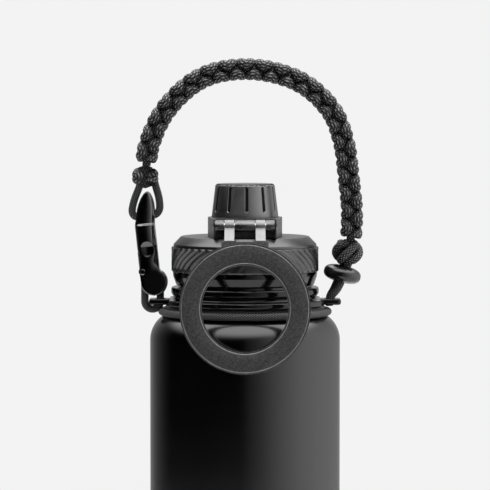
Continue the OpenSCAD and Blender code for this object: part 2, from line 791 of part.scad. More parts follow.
// Two cords from the right knot through the button and the right ear's slot
module stem_cords() {
    color("#141415") for (s = [-1, 1]) {
        points = [for (p = stem_route)
            [ear_bar_x + p[0] + s * p[2], -s * (1.9 - 0.3 * p[2]), pivot_z + p[1]]];
        sweep(smooth_route(points, 2), round_shape(tight_d / 2, 10));
    }
}

// Lens-shaped button that slides on the stem cords
module cord_button() {
    color("#1b1b1d") translate([button_x, 0, button_z]) rotate([0, button_tilt, 0]) difference() {
        intersection() {
            translate([0, 0, button_t / 2 - button_bow]) sphere(r = button_bow);
            translate([0, 0, button_bow - button_t / 2]) sphere(r = button_bow);
            cylinder(r = button_d / 2 - 0.3, h = button_t, center = true);
        }
        cylinder(r = button_hole_r, h = 2 * button_t, center = true);
    }
}

outer_shell();
inner_vessel();
base_plate();
getter();
vacuum_seal();
lid_gasket();
lid_core();
lid_insulation();
lid_grip_band();
lid_skirt_ring();
lid_top_cover();
spout();
spout_gasket();
spout_cap_shell();
spout_cap_liner();
hinge_collar();
hinge_pin();
phone_ring_frame();
ring_face_pad();
ring_magnets();
neck_collar();
neck_cord();
handle_braid();
left_knot();
clip_loop();
clip_body();
clip_gate();
gate_pin();
gate_spring();
ear_loop();
right_knot();
stem_cords();
cord_button();
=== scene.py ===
"""Looks of an insulated water bottle with a braided cord handle, laid out as an add-on.

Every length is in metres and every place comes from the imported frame.
"""
import bisect
import json
import math

import bmesh
import bpy
from mathutils import Matrix, Vector


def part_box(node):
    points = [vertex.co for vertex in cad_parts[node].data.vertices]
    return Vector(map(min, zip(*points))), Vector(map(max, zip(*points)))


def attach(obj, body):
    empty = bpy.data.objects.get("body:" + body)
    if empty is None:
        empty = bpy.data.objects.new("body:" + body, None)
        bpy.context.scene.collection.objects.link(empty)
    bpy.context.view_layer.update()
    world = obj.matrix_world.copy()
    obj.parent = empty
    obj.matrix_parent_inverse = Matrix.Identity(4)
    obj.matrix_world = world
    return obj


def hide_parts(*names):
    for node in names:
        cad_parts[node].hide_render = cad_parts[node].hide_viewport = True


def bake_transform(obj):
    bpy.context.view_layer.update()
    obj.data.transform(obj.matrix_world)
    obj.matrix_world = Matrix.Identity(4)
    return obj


bl_info = {
    "name": "Insulated bottle looks",
    "version": (1, 0, 0),
    "blender": (4, 5, 0),
    "location": "3D View > Sidebar > Bottle",
    "description": "Builds the pieces, finishes and stage of an insulated water bottle",
    "category": "Object",
}

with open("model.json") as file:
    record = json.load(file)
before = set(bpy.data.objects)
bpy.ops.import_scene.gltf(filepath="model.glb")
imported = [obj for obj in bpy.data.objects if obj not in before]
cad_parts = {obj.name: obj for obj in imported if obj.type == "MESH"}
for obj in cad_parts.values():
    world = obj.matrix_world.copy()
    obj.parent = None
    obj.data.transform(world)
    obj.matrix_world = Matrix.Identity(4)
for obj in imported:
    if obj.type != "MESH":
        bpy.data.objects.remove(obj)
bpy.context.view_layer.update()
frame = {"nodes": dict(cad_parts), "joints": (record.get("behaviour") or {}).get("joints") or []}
JOINTS = {j["name"]: j for j in frame["joints"]}

MM = 0.001
NECK_AXIS = Vector((0, 0, 0))
PIVOT = Vector(JOINTS["handle_swing"]["pos_m"])
RING_TILT = math.radians(5)
RING_FRONT = Vector((0, -math.cos(RING_TILT), math.sin(RING_TILT)))
CLIP_LEAN = math.radians(6)
BEAD_LEAN = math.radians(14)

# Middle line of the strap, as (x, height over the ears' axis) in millimetres
STRAP_ROUTE = [
    (-47, 65), (-46.5, 72), (-44, 80), (-40.5, 87.5), (-36, 94), (-30, 100.3),
    (-23.5, 105.3), (-16, 108.8), (-8, 110.6), (0.5, 111.2), (9, 110.5), (17, 108.7),
    (25, 105.7), (32, 101.2), (38, 95.5), (43, 88.4), (46, 80.5), (48, 72.2),
    (49, 64), (50, 55), (51, 45.5), (51, 36), (50.4, 29),
]
# The stem cords, as (x from the ear's bar, height over the ears' axis, share of the spread)
STEM_ROUTE = [
    (4.4, 18.6, 1), (2.7, 14.6, 1), (0.9, 9.8, 1), (-0.9, 5.9, 0.8),
    (-3.1, 2.8, 0.3), (-3.85, 0.4, 0), (-3.85, -2, 0),
]
# Half of the cord's U through the clip's tongue, in the clip's own frame
LOOP_ROUTE = [
    (0, 31.8), (3.2, 31.8), (5.5, 32.6), (6.6, 34.8), (6.4, 37.8), (5.6, 41.2), (4.2, 45.2), (2.6, 50),
]
STEM_X = -1.6
TONGUE_Z, TONGUE_LEAN = 27.9, 0.17
EAR_BAR_X = 44.3
SCALE_X = EAR_BAR_X / 44.2
TIGHT_R = 1.8 * MM


# What reflections see round the bottle, as (degrees right of the front, share of full brightness)
SOFTBOX = [
    (-180, 0.2), (180, 0.2), (-150, 0.15), (-122, 0.06), (-104, 0), (-2, 0), (2, 0.06), (18, 0.2),
    (28, 0.35), (48, 0.66), (72, 0.92), (97, 0.85), (132, 0.4), (150, 0.22),
]


# ---------------------------------------------------------------- settings

class BottleColours(bpy.types.PropertyGroup):
    """Colours of the finishes."""

    coat: bpy.props.FloatVectorProperty(
        name="Powder coat", description="Colour of the body", subtype="COLOR",
        default=(0.0004, 0.0004, 0.0004), min=0, max=1)
    moulding: bpy.props.FloatVectorProperty(
        name="Moulding", description="Colour of the lid's moulded pieces", subtype="COLOR",
        default=(0.003, 0.003, 0.0031), min=0, max=1)
    cord: bpy.props.FloatVectorProperty(
        name="Cord", description="Darkest colour of the woven sheath", subtype="COLOR",
        default=(0.0012, 0.0012, 0.0012), min=0, max=1)
    # Painted highlight: the glint on the yarn crowns is painted into the sheath as this light colour.
    glint: bpy.props.FloatVectorProperty(
        name="Cord glint", description="Lightest colour of the woven sheath", subtype="COLOR",
        default=(0.3, 0.3, 0.302), min=0, max=1)


class StrapSizes(bpy.types.PropertyGroup):
    """Sizes of the braided strap and its cord."""

    cord_d: bpy.props.FloatProperty(
        name="Cord", description="Diameter of the cord", default=4 * MM, min=3 * MM, max=5 * MM,
        subtype="DISTANCE", unit="LENGTH")
    swell: bpy.props.FloatProperty(
        name="Swell", description="How much wider a slack working cord is than a tight one",
        default=1.16, min=1, max=1.25)
    pitch: bpy.props.FloatProperty(
        name="Pitch", description="Length of one half knot along the strap", default=4.15 * MM,
        min=3.8 * MM, max=5 * MM, subtype="DISTANCE", unit="LENGTH")
    width: bpy.props.FloatProperty(
        name="Width", description="Width of the strap, front to back", default=17 * MM,
        min=14 * MM, max=18 * MM, subtype="DISTANCE", unit="LENGTH")
    thickness: bpy.props.FloatProperty(
        name="Thickness", description="Thickness of the strap", default=10.6 * MM,
        min=9 * MM, max=11 * MM, subtype="DISTANCE", unit="LENGTH")


class LidSizes(bpy.types.PropertyGroup):
    """Sizes of the grip band's flutes."""

    flutes: bpy.props.IntProperty(
        name="Flutes", description="Flutes round the grip band", default=50, min=30, max=80)
    depth: bpy.props.FloatProperty(
        name="Depth", description="Depth of a flute", default=1.05 * MM, min=0, max=1.3 * MM,
        subtype="DISTANCE", unit="LENGTH")
    lean: bpy.props.FloatProperty(
        name="Lean", description="How far a flute leans over the band's height",
        default=math.radians(24), min=0, max=math.radians(50), subtype="ANGLE", unit="ROTATION")


class StageSettings(bpy.types.PropertyGroup):
    """Camera and light."""

    distance: bpy.props.FloatProperty(
        name="Distance", description="Camera to the bottle's axis", default=1.5, min=0.5, max=4,
        subtype="DISTANCE", unit="LENGTH")
    elevation: bpy.props.FloatProperty(
        name="Elevation", description="How far the camera looks down", default=math.radians(3),
        min=0, max=math.radians(60), subtype="ANGLE", unit="ROTATION")
    aim: bpy.props.FloatProperty(
        name="Aim", description="Height that the camera looks at", default=0.2314, min=0, max=0.4,
        subtype="DISTANCE", unit="LENGTH")
    lens: bpy.props.FloatProperty(
        name="Lens", description="Focal length for a 36 mm sensor, in millimetres",
        default=230, min=35, max=400)
    backdrop: bpy.props.FloatVectorProperty(
        name="Backdrop", description="Colour behind the bottle", subtype="COLOR",
        default=(0.89, 0.895, 0.89), min=0, max=1)


# ---------------------------------------------------------------- mesh helpers

def add_piece(name, bm, materials, smooth_angle=math.radians(32)):
    """Makes an object of a bmesh, at the origin, with soft shading up to an angle."""
    mesh = bpy.data.meshes.new(name)
    bm.to_mesh(mesh)
    bm.free()
    for material in materials:
        mesh.materials.append(material)
    mesh.shade_smooth()
    mesh.set_sharp_from_angle(angle=smooth_angle)
    obj = bpy.data.objects.new(name, mesh)
    bpy.context.scene.collection.objects.link(obj)
    return obj


def stand_in(obj, body, slot, *nodes):
    """The piece rides on a body and stands for CAD nodes."""
    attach(obj, body)
    if nodes:
        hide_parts(*nodes)


def round_outline(corners, segments=4):
    """Closed outline from (a, b, fillet radius) corners, each fillet an arc."""
    outline = []
    count = len(corners)
    for i, (a, b, radius) in enumerate(corners):
        here = Vector((a, b))
        before = Vector(corners[i - 1][:2]) - here
        after = Vector(corners[(i + 1) % count][:2]) - here
        half = before.angle(after) / 2
        if radius <= 0 or half > math.radians(88):
            outline.append(here)
            continue
        reach = min(radius / math.tan(half), 0.49 * before.length, 0.49 * after.length)
        start = here + before.normalized() * reach
        end = here + after.normalized() * reach
        bisector = (before.normalized() + after.normalized()).normalized()
        centre = here + bisector * (reach / math.cos(half))
        from_centre, to_centre = start - centre, end - centre
        turn = from_centre.angle_signed(to_centre)
        for k in range(segments + 1):
            spoke = from_centre.copy()
            spoke.rotate(Matrix.Rotation(-turn * k / segments, 2))
            outline.append(centre + spoke)
    return outline


def lathe(outline, steps=192):
    """Turns a closed (radius, height) outline round the bottle's axis."""
    bm = bmesh.new()
    verts = [bm.verts.new((p[0], 0, p[1])) for p in outline]
    edges = [bm.edges.new((verts[i - 1], verts[i])) for i in range(len(verts))]
    bmesh.ops.spin(
        bm, geom=verts + edges, cent=NECK_AXIS, axis=(0, 0, 1), angle=math.tau, steps=steps,
        use_merge=True)
    bmesh.ops.remove_doubles(bm, verts=bm.verts, dist=1e-7)
    bmesh.ops.recalc_face_normals(bm, faces=bm.faces)
    return bm


def merged_copy(node):
    """A bmesh of a CAD node's shape, with its triangles joined into whole faces."""
    bm = bmesh.new()
    bm.from_mesh(frame["nodes"][node].data)
    bmesh.ops.remove_doubles(bm, verts=bm.verts, dist=2e-6)
    bmesh.ops.dissolve_limit(
        bm, angle_limit=math.radians(0.6), use_dissolve_boundaries=False, verts=bm.verts,
        edges=bm.edges, delimit=set())
    return bm


def softened(node, width, segments=3, sharp=math.radians(35)):
    """A copy of a CAD node with its sharp edges rounded. The rounded strips take material 1."""
    bm = merged_copy(node)
    edges = [e for e in bm.edges if len(e.link_faces) == 2 and e.calc_face_angle(0) > sharp]
    strips = bmesh.ops.bevel(
        bm, geom=edges, offset=width, offset_type="OFFSET", segments=segments, profile=0.5,
        affect="EDGES", clamp_overlap=True, material=-1)
    for face in strips["faces"]:
        face.material_index = 1
    bmesh.ops.triangulate(bm, faces=[f for f in bm.faces if len(f.verts) > 4])
    return bm


def melted(node, voxel, passes):
    """A copy of a CAD node remeshed in small cells and smoothed, as a glossy moulding."""
    bm = merged_copy(node)
    bmesh.ops.triangulate(bm, faces=bm.faces)
    mesh = bpy.data.meshes.new(node + "_melt")
    bm.to_mesh(mesh)
    bm.free()
    source = bpy.data.objects.new(node + "_melt", mesh)
    bpy.context.scene.collection.objects.link(source)
    remesh = source.modifiers.new("cells", "REMESH")
    remesh.mode = "VOXEL"
    remesh.voxel_size = voxel
    depsgraph = bpy.context.evaluated_depsgraph_get()
    result = bpy.data.meshes.new_from_object(source.evaluated_get(depsgraph))
    bm = bmesh.new()
    bm.from_mesh(result)
    bpy.data.objects.remove(source)
    bpy.data.meshes.remove(mesh)
    bpy.data.meshes.remove(result)
    for _ in range(passes):
        bmesh.ops.smooth_vert(
            bm, verts=bm.verts, factor=0.5, use_axis_x=True, use_axis_y=True, use_axis_z=True)
    return bm


# ---------------------------------------------------------------- cords

def smooth_path(points, steps):
    """Catmull-Rom curve through points."""
    path = []
    last = len(points) - 1
    for i in range(last):
        a, b = points[max(i - 1, 0)], points[i]
        c, d = points[i + 1], points[min(i + 2, last)]
        for k in range(steps):
            t = k / steps
            path.append(
                0.5 * (2 * b + (c - a) * t + (2 * a - 5 * b + 4 * c - d) * t ** 2
                       + (3 * b - a - 3 * c + d) * t ** 3))
    path.append(points[last].copy())
    return path


def headings(path, closed):
    count = len(path)
    result = []
    for i in range(count):
        before = path[i - 1] if closed or i else path[0]
        after = path[(i + 1) % count] if closed or i < count - 1 else path[-1]
        result.append((after - before).normalized())
    return result


def add_tube(bm, path, radius, sides=10, closed=False):
    """Adds a cord along a path. Its UV map runs once round it and along it in girths."""
    uv = bm.loops.layers.uv.get("UVMap") or bm.loops.layers.uv.new("UVMap")
    directions = headings(path, closed)
    side = directions[0].orthogonal().normalized()
    sides_of = []
    for i, direction in enumerate(directions):
        if i:
            side = (directions[i - 1].rotation_difference(direction) @ side)
        side = (side - direction * side.dot(direction)).normalized()
        sides_of.append(side)
    twist = 0.0
    if closed:
        back = directions[-1].rotation_difference(directions[0]) @ sides_of[-1]
        back = (back - directions[0] * back.dot(directions[0])).normalized()
        twist = math.atan2(back.cross(sides_of[0]).dot(directions[0]), back.dot(sides_of[0]))
    rings = []
    for i, point in enumerate(path):
        u = Matrix.Rotation(twist * i / len(path), 3, directions[i]) @ sides_of[i]
        v = directions[i].cross(u)
        ring = []
        for k in range(sides):
            a = math.tau * k / sides
            ring.append(bm.verts.new(point + radius * (math.cos(a) * u + math.sin(a) * v)))
        rings.append(ring)
    girth = math.tau * radius
    travelled = 0.0
    spans = len(path) if closed else len(path) - 1
    for i in range(spans):
        j = (i + 1) % len(path)
        step = (path[j] - path[i]).length / girth
        for k in range(sides):
            m = (k + 1) % sides
            face = bm.faces.new((rings[i][k], rings[i][m], rings[j][m], rings[j][k]))
            corners = [
                (k / sides, travelled), ((k + 1) / sides, travelled),
                ((k + 1) / sides, travelled + step), (k / sides, travelled + step),
            ]
            for loop, corner in zip(face.loops, corners):
                loop[uv].uv = corner
        travelled += step
    if not closed:
        bm.faces.new(list(reversed(rings[0])))
        bm.faces.new(rings[-1])


def cord_piece(name, paths, radius, materials, sides=10, closed=False):
    bm = bmesh.new()
    for path in paths:
        add_tube(bm, path, radius, sides, closed)
    return add_piece(name, bm, materials, smooth_angle=math.radians(60))


# ---------------------------------------------------------------- shader groups

def group_tree(name, inputs, outputs):
    """A new shader node group with named sockets."""
    tree = bpy.data.node_groups.new(name, "ShaderNodeTree")
    for label, kind, default in inputs:
        socket = tree.interface.new_socket(name=label, in_out="INPUT", socket_type=kind)
        if default is not None:
            socket.default_value = default
    for label, kind in outputs:
        tree.interface.new_socket(name=label, in_out="OUTPUT", socket_type=kind)
    return tree, tree.nodes.new("NodeGroupInput"), tree.nodes.new("NodeGroupOutput")


def math_node(tree, operation, a, b=None):
    node = tree.nodes.new("ShaderNodeMath")
    node.operation = operation
    for index, value in enumerate((a, b)):
        if value is None:
            continue
        if isinstance(value, (int, float)):
            node.inputs[index].default_value = value
        else:
            tree.links.new(value, node.inputs[index])
    return node.outputs[0]


def mix_colour(tree, factor, a, b):
    node = tree.nodes.new("ShaderNodeMix")
    node.data_type = "RGBA"
    tree.links.new(factor, node.inputs["Factor"])
    tree.links.new(a, node.inputs[6])
    tree.links.new(b, node.inputs[7])
    return node.outputs[2]


def grain_group():
    """Fine grain over broad tone, for powder coat, mouldings, rubber and metal."""
    name = "Surface grain"
    if name in bpy.data.node_groups:
        return bpy.data.node_groups[name]
    tree, start, end = group_tree(name, [
        ("Vector", "NodeSocketVector", None),
        ("Fine Scale", "NodeSocketFloat", 2500.0),
        ("Broad Scale", "NodeSocketFloat", 40.0),
        ("Dark", "NodeSocketColor", (0.01, 0.01, 0.01, 1)),
        ("Light", "NodeSocketColor", (0.03, 0.03, 0.03, 1)),
        ("Low Roughness", "NodeSocketFloat", 0.35),
        ("High Roughness", "NodeSocketFloat", 0.5),
    ], [("Color", "NodeSocketColor"), ("Roughness", "NodeSocketFloat"), ("Height", "NodeSocketFloat")])
    noises = []
    for scale, detail in (("Fine Scale", 3), ("Broad Scale", 4)):
        noise = tree.nodes.new("ShaderNodeTexNoise")
        noise.inputs["Detail"].default_value = detail
        tree.links.new(start.outputs["Vector"], noise.inputs["Vector"])
        tree.links.new(start.outputs[scale], noise.inputs["Scale"])
        noises.append(noise.outputs["Fac"])
    fine, broad = noises
    blend = math_node(tree, "ADD", math_node(tree, "MULTIPLY", fine, 0.55),
                      math_node(tree, "MULTIPLY", broad, 0.45))
    spread = tree.nodes.new("ShaderNodeMapRange")
    spread.interpolation_type = "SMOOTHSTEP"
    spread.inputs["From Min"].default_value = 0.36
    spread.inputs["From Max"].default_value = 0.64
    tree.links.new(blend, spread.inputs["Value"])
    tone = spread.outputs["Result"]
    tree.links.new(mix_colour(tree, tone, start.outputs["Dark"], start.outputs["Light"]),
                   end.inputs["Color"])
    span = math_node(tree, "SUBTRACT", start.outputs["High Roughness"], start.outputs["Low Roughness"])
    rough = math_node(tree, "ADD", start.outputs["Low Roughness"], math_node(tree, "MULTIPLY", span, tone))
    tree.links.new(rough, end.inputs["Roughness"])
    tree.links.new(fine, end.inputs["Height"])
    return tree


def sheath_group():
    """Braided sheath of a cord: two sets of crossing yarns on the cord's own UV map. The crowns of the
    yarns take the light colour, a painted glint; the hollows keep the dark cord colour.
    """
    name = "Cord sheath"
    if name in bpy.data.node_groups:
        return bpy.data.node_groups[name]
    tree, start, end = group_tree(name, [
        ("UV", "NodeSocketVector", None),
        ("Yarns", "NodeSocketFloat", 9.0),
        ("Dark", "NodeSocketColor", (0.006, 0.006, 0.006, 1)),
        ("Light", "NodeSocketColor", (0.05, 0.05, 0.05, 1)),
    ], [("Color", "NodeSocketColor"), ("Roughness", "NodeSocketFloat"), ("Height", "NodeSocketFloat")])
    split = tree.nodes.new("ShaderNodeSeparateXYZ")
    tree.links.new(start.outputs["UV"], split.inputs[0])
    across = math_node(tree, "MULTIPLY", split.outputs["X"], start.outputs["Yarns"])
    along = math_node(tree, "MULTIPLY", split.outputs["Y"],
                      math_node(tree, "MULTIPLY", start.outputs["Yarns"], 0.8))
    waves = []
    for operation in ("ADD", "SUBTRACT"):
        phase = math_node(tree, "MULTIPLY", math_node(tree, operation, across, along), math.pi)
        waves.append(math_node(tree, "ABSOLUTE", math_node(tree, "SINE", phase)))
    yarn = math_node(tree, "POWER", math_node(tree, "MULTIPLY", waves[0], waves[1]), 2.6)
    fibre = tree.nodes.new("ShaderNodeTexNoise")
    fibre.inputs["Scale"].default_value = 26
    fibre.inputs["Detail"].default_value = 3
    tree.links.new(start.outputs["UV"], fibre.inputs["Vector"])
    # Painted glint: the yarn crowns, more where the fibre noise is high, take the light colour.
    tone = math_node(tree, "MULTIPLY", yarn, math_node(tree, "MULTIPLY", fibre.outputs["Fac"], 1.7))
    tree.links.new(mix_colour(tree, tone, start.outputs["Dark"], start.outputs["Light"]),
                   end.inputs["Color"])
    tree.links.new(math_node(tree, "SUBTRACT", 0.62, math_node(tree, "MULTIPLY", tone, 0.25)),
                   end.inputs["Roughness"])
    tree.links.new(math_node(tree, "ADD", yarn, math_node(tree, "MULTIPLY", fibre.outputs["Fac"], 0.35)),
                   end.inputs["Height"])
    return tree


def new_material(name):
    material = bpy.data.materials.new(name)
    material.use_nodes = True
    return material, material.node_tree, material.node_tree.nodes["Principled BSDF"]


def add_bump(tree, shader, height, strength, distance):
    bump = tree.nodes.new("ShaderNodeBump")
    bump.inputs["Strength"].default_value = strength
    bump.inputs["Distance"].default_value = distance
    tree.links.new(height, bump.inputs["Height"])
    tree.links.new(bump.outputs["Normal"], shader.inputs["Normal"])


def grained(name, dark, light, rough=(0.4, 0.5), fine=2500, broad=40, bump=(0.1, 0.05 * MM),
            stretch=(1, 1, 1), **constants):
    """A finish made with the surface grain. Constants go on the shader's own sockets."""
    if name in bpy.data.materials:
        return bpy.data.materials[name]
    material, tree, shader = new_material(name)
    place = tree.nodes.new("ShaderNodeTexCoord")
    mapping = tree.nodes.new("ShaderNodeMapping")
    mapping.inputs["Scale"].default_value = stretch
    tree.links.new(place.outputs["Object"], mapping.inputs["Vector"])
    grain = tree.nodes.new("ShaderNodeGroup")
    grain.node_tree = grain_group()
    tree.links.new(mapping.outputs["Vector"], grain.inputs["Vector"])
    grain.inputs["Fine Scale"].default_value = fine
    grain.inputs["Broad Scale"].default_value = broad
    grain.inputs["Dark"].default_value = (*dark, 1)
    grain.inputs["Light"].default_value = (*light, 1)
    grain.inputs["Low Roughness"].default_value = rough[0]
    grain.inputs["High Roughness"].default_value = rough[1]
    tree.links.new(grain.outputs["Color"], shader.inputs["Base Color"])
    tree.links.new(grain.outputs["Roughness"], shader.inputs["Roughness"])
    add_bump(tree, shader, grain.outputs["Height"], *bump)
    for socket, value in constants.items():
        shader.inputs[socket.replace("_", " ").title().replace("Ior", "IOR")].default_value = value
    return material


def sheath_material():
    name = "Woven cord sheath"
    if name in bpy.data.materials:
        return bpy.data.materials[name]
    colours = bpy.context.scene.bottle_colours
    material, tree, shader = new_material(name)
    uv = tree.nodes.new("ShaderNodeUVMap")
    uv.uv_map = "UVMap"
    sheath = tree.nodes.new("ShaderNodeGroup")
    sheath.node_tree = sheath_group()
    tree.links.new(uv.outputs["UV"], sheath.inputs["UV"])
    # The light colour is the painted glint of the yarn crowns.
    sheath.inputs["Dark"].default_value = (*colours.cord, 1)
    sheath.inputs["Light"].default_value = (*colours.glint, 1)
    tree.links.new(sheath.outputs["Color"], shader.inputs["Base Color"])
    tree.links.new(sheath.outputs["Roughness"], shader.inputs["Roughness"])
    add_bump(tree, shader, sheath.outputs["Height"], 0.9, 0.25 * MM)
    shader.inputs["Specular IOR Level"].default_value = 0.22
    shader.inputs["Sheen Weight"].default_value = 0.02
    shader.inputs["Sheen Roughness"].default_value = 0.4
    return material


def powder_coat():
    dark = bpy.context.scene.bottle_colours.coat
    return grained(
        "Powder coat", dark, [c * 1.5 for c in dark], rough=(0.17, 0.22), fine=5200, broad=30,
        bump=(0.06, 0.02 * MM))


def lid_moulding():
    """Satin moulding of the band and the cover."""
    dark = bpy.context.scene.bottle_colours.moulding
    return grained(
        "Lid moulding", dark, [c * 1.7 for c in dark], rough=(0.3, 0.4), fine=4200, broad=60,
        bump=(0.2, 0.04 * MM), specular_ior_level=0.85)


def skirt_moulding():
    """Smoother moulding of the skirt under the band."""
    dark = bpy.context.scene.bottle_colours.moulding
    return grained(
        "Skirt moulding", [c * 0.2 for c in dark], [c * 0.4 for c in dark], rough=(0.1, 0.15),
        fine=3600, broad=60, bump=(0.06, 0.02 * MM), specular_ior_level=0.45)


def cap_moulding():
    dark = bpy.context.scene.bottle_colours.moulding
    return grained(
        "Cap moulding", [c * 1.5 for c in dark], [c * 4 for c in dark], rough=(0.32, 0.46), fine=2600,
        broad=90, bump=(0.3, 0.05 * MM), specular_ior_level=1.0, ior=1.7)


def collar_metal():
    return grained(
        "Hinge collar metal", (0.08, 0.08, 0.081), (0.13, 0.13, 0.132), rough=(0.26, 0.36), fine=1700,
        broad=120, bump=(0.2, 0.04 * MM), metallic=0.9)


def ring_metal():
    return grained(
        "Ring metal", (0.17, 0.17, 0.172), (0.25, 0.25, 0.253), rough=(0.38, 0.5), fine=2400, broad=150,
        bump=(0.12, 0.03 * MM), metallic=0.25)


def ring_face():
    return grained(
        "Mottled ring face", (0.005, 0.005, 0.005), (0.045, 0.045, 0.0455), rough=(0.5, 0.66),
        fine=2400, broad=900, bump=(0.35, 0.08 * MM), metallic=0.2)


def neck_rubber():
    return grained(
        "Neck rubber", (0.0015, 0.0015, 0.0015), (0.003, 0.003, 0.003), rough=(0.08, 0.13), fine=2600,
        broad=80, bump=(0.05, 0.02 * MM), specular_ior_level=0.3)


def gloss_moulding():
    return grained(
        "Clip moulding", (0.0012, 0.0012, 0.0012), (0.0025, 0.0025, 0.0025), rough=(0.07, 0.12),
        fine=900, broad=120, bump=(0.03, 0.03 * MM), coat_weight=1.0, coat_roughness=0.04,
        specular_ior_level=0.8)


def button_moulding():
    return grained(
        "Button moulding", (0.003, 0.003, 0.003), (0.008, 0.008, 0.008), rough=(0.2, 0.3), fine=1300,
        broad=160, bump=(0.12, 0.05 * MM))


def painted_rim_highlight():
    """Painted highlight on the rounded rims of the moulded cap and of the phone ring."""
    return grained(
        "Rubbed edge", (0.2, 0.2, 0.202), (0.34, 0.34, 0.343), rough=(0.2, 0.3), fine=1900, broad=160,
        bump=(0.08, 0.03 * MM), metallic=0.15)


def slot_shade():
    """Painted shade at the bottom of the cap's slots: a darker, duller finish than the cap."""
    return grained(
        "Slot shade", (0.0006, 0.0006, 0.0006), (0.0015, 0.0015, 0.0015), rough=(0.6, 0.75),
        fine=1400, broad=200, bump=(0.2, 0.05 * MM), specular_ior_level=0.12)


def hidden_finishes():
    """Finishes of the pieces that show only when the bottle is open, by CAD node."""
    steel = grained(
        "Polished vessel steel", (0.5, 0.5, 0.51), (0.66, 0.66, 0.67), rough=(0.16, 0.3), fine=260,
        broad=50, bump=(0.04, 0.02 * MM), stretch=(1, 1, 14), metallic=1.0)
    silicone = grained(
        "Silicone", (0.5, 0.5, 0.49), (0.6, 0.6, 0.59), rough=(0.42, 0.55), fine=1400, broad=90,
        bump=(0.1, 0.04 * MM), subsurface_weight=0.08)
    plug = grained(
        "Plug moulding", (0.022, 0.022, 0.024), (0.034, 0.034, 0.036), rough=(0.38, 0.5), fine=3200,
        broad=70, bump=(0.15, 0.04 * MM))
    foam = grained(
        "Plug foam", (0.62, 0.6, 0.54), (0.82, 0.8, 0.74), rough=(0.8, 0.95), fine=1100, broad=300,
        bump=(0.6, 0.3 * MM))
    foot = grained(
        "Foot moulding", (0.018, 0.018, 0.019), (0.028, 0.028, 0.03), rough=(0.5, 0.62), fine=3000,
        broad=60, bump=(0.2, 0.05 * MM))
    sintered = grained(
        "Sintered pill", (0.2, 0.2, 0.205), (0.4, 0.4, 0.41), rough=(0.6, 0.8), fine=2600, broad=400,
        bump=(0.6, 0.1 * MM), metallic=0.6)
    solder = grained(
        "Solder glass", (0.12, 0.17, 0.19), (0.2, 0.26, 0.28), rough=(0.08, 0.2), fine=900, broad=200,
        bump=(0.1, 0.05 * MM))
    nickel = grained(
        "Nickel plate", (0.55, 0.54, 0.53), (0.68, 0.67, 0.66), rough=(0.12, 0.22), fine=1200,
        broad=200, bump=(0.05, 0.02 * MM), metallic=1.0)
    wire = grained(
        "Pin steel", (0.42, 0.42, 0.43), (0.56, 0.56, 0.57), rough=(0.18, 0.3), fine=1800, broad=200,
        bump=(0.06, 0.02 * MM), metallic=1.0)
    return {
        "inner_vessel": steel, "lid_gasket": silicone, "spout_gasket": silicone, "lid_core": plug,
        "spout": plug, "spout_cap_liner": plug, "lid_insulation": foam, "base_plate": foot,
        "getter": sintered, "vacuum_seal": solder, "ring_magnets": nickel, "hinge_pin": wire,
        "gate_pin": gloss_moulding(), "gate_spring": wire,
    }


# ---------------------------------------------------------------- operators

class BottleOperator:
    """Shared settings of the operators below."""

    bl_options = {"REGISTER"}


